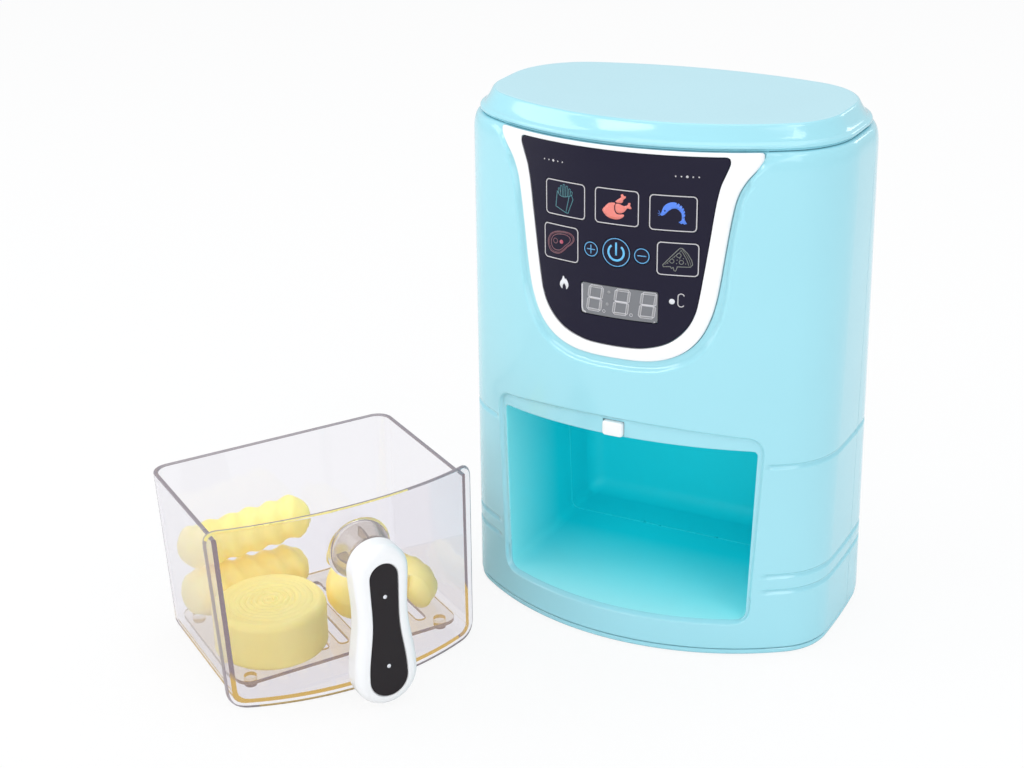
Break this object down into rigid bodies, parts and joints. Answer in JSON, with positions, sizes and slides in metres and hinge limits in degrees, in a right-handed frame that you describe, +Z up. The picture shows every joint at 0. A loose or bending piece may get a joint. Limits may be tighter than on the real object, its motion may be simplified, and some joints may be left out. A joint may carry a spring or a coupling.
{
  "type": "toy air fryer",
  "caption": "Pretend-play air fryer: rounded upright housing with a touch panel, and a clear lift-out drawer with a peanut handle, a ribbed rack and toy food.",
  "frame": {"origin": "centre of the flat underside of the housing's base plate", "axes": "+Z up, the control panel and the drawer's mouth face -Y, +X to the viewer's right when facing the panel"},
  "size_m": [0.2913, 0.2587, 0.25],
  "materials": {
    "aqua_plastic": "glossy pale aqua ABS",
    "white_plastic": "glossy white",
    "navy_plastic": "glossy dark navy film",
    "display_glass": "smoky clear window",
    "dark_plastic": "satin black",
    "circuit_board": "solder mask",
    "screw_steel": "zinc plated",
    "contact_steel": "nickel plated",
    "cell_jacket": "printed jacket",
    "wire_sleeve": "soft sleeve",
    "clear_plastic": "clear polished styrene",
    "food_plastic": "translucent pale yellow"
  },
  "bodies": {
    "housing": {"front_shell": "aqua_plastic", "rear_shell": "aqua_plastic", "top_cover": "aqua_plastic", "base_plate": "aqua_plastic", "bezel_ring": "white_plastic", "control_overlay": "navy_plastic", "display_window": "display_glass", "display_module": "dark_plastic", "main_board": "circuit_board", "shell_screw_1": "screw_steel", "shell_screw_2": "screw_steel", "shell_screw_3": "screw_steel", "shell_screw_4": "screw_steel", "shell_screw_5": "screw_steel", "shell_screw_6": "screw_steel", "board_screw_1": "screw_steel", "board_screw_2": "screw_steel", "board_screw_3": "screw_steel", "board_screw_4": "screw_steel", "base_screw_1": "screw_steel", "base_screw_2": "screw_steel", "base_screw_3": "screw_steel", "base_screw_4": "screw_steel", "drawer_switch_body": "dark_plastic", "speaker": "dark_plastic", "battery_leads": "wire_sleeve", "speaker_leads": "wire_sleeve", "switch_leads": "wire_sleeve", "battery_1": "cell_jacket", "battery_2": "cell_jacket", "battery_3": "cell_jacket", "contact_positive": "contact_steel", "contact_link_left": "contact_steel", "contact_link_right": "contact_steel", "contact_negative": "contact_steel", "battery_cover": "aqua_plastic", "battery_cover_screw": "screw_steel"},
    "key_fries": {"key_fries": "navy_plastic"},
    "key_roast": {"key_roast": "navy_plastic"},
    "key_shrimp": {"key_shrimp": "navy_plastic"},
    "key_steak": {"key_steak": "navy_plastic"},
    "key_pizza": {"key_pizza": "navy_plastic"},
    "key_plus": {"key_plus": "navy_plastic"},
    "key_minus": {"key_minus": "navy_plastic"},
    "key_power": {"key_power": "navy_plastic"},
    "switch_tab": {"drawer_switch_tab": "white_plastic"},
    "drawer": {"drawer_tub": "clear_plastic", "handle": "white_plastic", "handle_inlay": "dark_plastic", "handle_screw": "screw_steel"},
    "rack": {"crisper_rack": "clear_plastic"},
    "food_roll": {"food_roll": "food_plastic"},
    "food_log": {"food_log": "food_plastic"},
    "food_top_log": {"food_top_log": "food_plastic"},
    "food_drumstick": {"food_drumstick": "food_plastic"},
    "food_shrimp": {"food_shrimp": "food_plastic"}
  },
  "joints": [
    {"name": "press_fries", "type": "slide", "parent": "housing", "child": "key_fries", "axis": [0, 1, 0], "range_m": [0, 0.0005], "stiffness_N_per_m": 800, "springref_m": -0.0004},
    {"name": "press_roast", "type": "slide", "parent": "housing", "child": "key_roast", "axis": [0, 1, 0], "range_m": [0, 0.0005], "stiffness_N_per_m": 800, "springref_m": -0.0004},
    {"name": "press_shrimp", "type": "slide", "parent": "housing", "child": "key_shrimp", "axis": [0, 1, 0], "range_m": [0, 0.0005], "stiffness_N_per_m": 800, "springref_m": -0.0004},
    {"name": "press_steak", "type": "slide", "parent": "housing", "child": "key_steak", "axis": [0, 1, 0], "range_m": [0, 0.0005], "stiffness_N_per_m": 800, "springref_m": -0.0004},
    {"name": "press_pizza", "type": "slide", "parent": "housing", "child": "key_pizza", "axis": [0, 1, 0], "range_m": [0, 0.0005], "stiffness_N_per_m": 800, "springref_m": -0.0004},
    {"name": "press_plus", "type": "slide", "parent": "housing", "child": "key_plus", "axis": [0, 1, 0], "range_m": [0, 0.0005], "stiffness_N_per_m": 800, "springref_m": -0.0004},
    {"name": "press_minus", "type": "slide", "parent": "housing", "child": "key_minus", "axis": [0, 1, 0], "range_m": [0, 0.0005], "stiffness_N_per_m": 800, "springref_m": -0.0004},
    {"name": "press_power", "type": "slide", "parent": "housing", "child": "key_power", "axis": [0, 1, 0], "range_m": [0, 0.0005], "stiffness_N_per_m": 800, "springref_m": -0.0004},
    {"name": "push_switch_tab", "type": "slide", "parent": "housing", "child": "switch_tab", "axis": [0, 1, 0], "range_m": [0, 0.0018], "stiffness_N_per_m": 300, "springref_m": -0.001},
    {"name": "lift_drawer", "type": "slide", "parent": "housing", "child": "drawer", "axis": [0, 0, 1], "range_m": [0, 0.12]},
    {"name": "lift_rack", "type": "slide", "parent": "drawer", "child": "rack", "axis": [0, 0, 1], "range_m": [0, 0.09]},
    {"name": "lift_roll", "type": "slide", "parent": "rack", "child": "food_roll", "axis": [0, 0, 1], "range_m": [0, 0.09]},
    {"name": "lift_log", "type": "slide", "parent": "rack", "child": "food_log", "axis": [0, 0, 1], "range_m": [0, 0.09]},
    {"name": "lift_drumstick", "type": "slide", "parent": "rack", "child": "food_drumstick", "axis": [0, 0, 1], "range_m": [0, 0.09]},
    {"name": "lift_shrimp", "type": "slide", "parent": "rack", "child": "food_shrimp", "axis": [0, 0, 1], "range_m": [0, 0.09]},
    {"name": "lift_top_log", "type": "slide", "parent": "food_log", "child": "food_top_log", "axis": [0, 0, 1], "range_m": [0, 0.06]}
  ]
}
